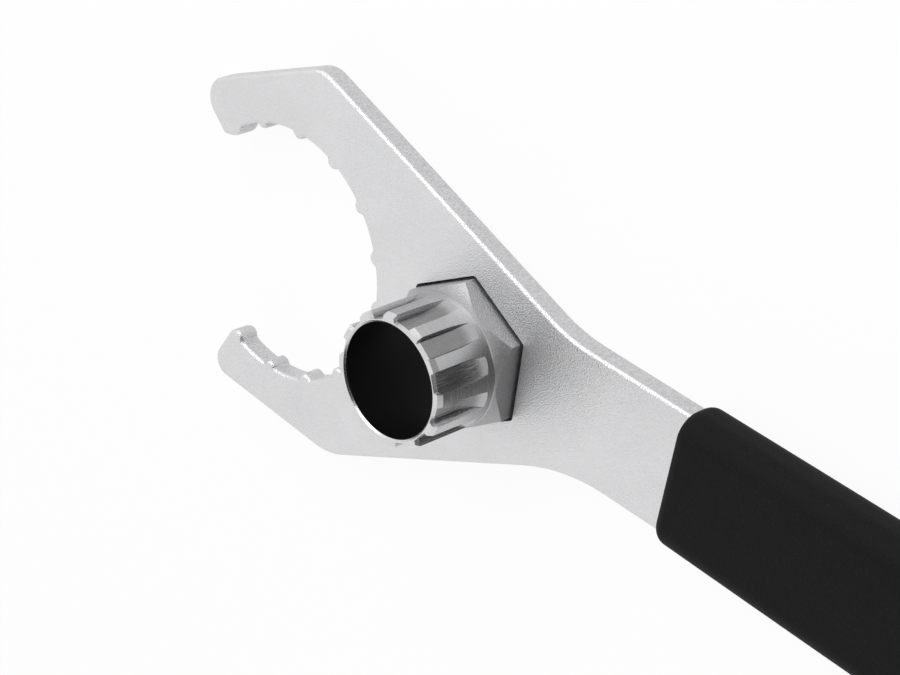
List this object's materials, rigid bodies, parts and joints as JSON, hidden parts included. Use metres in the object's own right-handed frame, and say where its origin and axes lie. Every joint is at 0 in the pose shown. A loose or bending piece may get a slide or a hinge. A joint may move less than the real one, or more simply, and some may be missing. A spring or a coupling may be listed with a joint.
{
  "type": "bottom bracket tool",
  "caption": "Hand wrench for bicycle bottom brackets: notched open jaw for outboard cups, splined socket through the plate, padded handle.",
  "frame": {"origin": "on the socket's axis, in the plate's back face", "axes": "+Z along the socket towards its mouth, square to the plate; +X along the handle towards the end of the grip"},
  "size_m": [0.2492, 0.0659, 0.0241],
  "materials": {
    "plate_steel": "satin blasted plating",
    "socket_steel": "turned and milled",
    "grip_plastic": "fine matte texture"
  },
  "bodies": {
    "root": {"wrench_plate": "plate_steel", "splined_socket": "socket_steel", "handle_grip": "grip_plastic"}
  },
  "joints": []
}
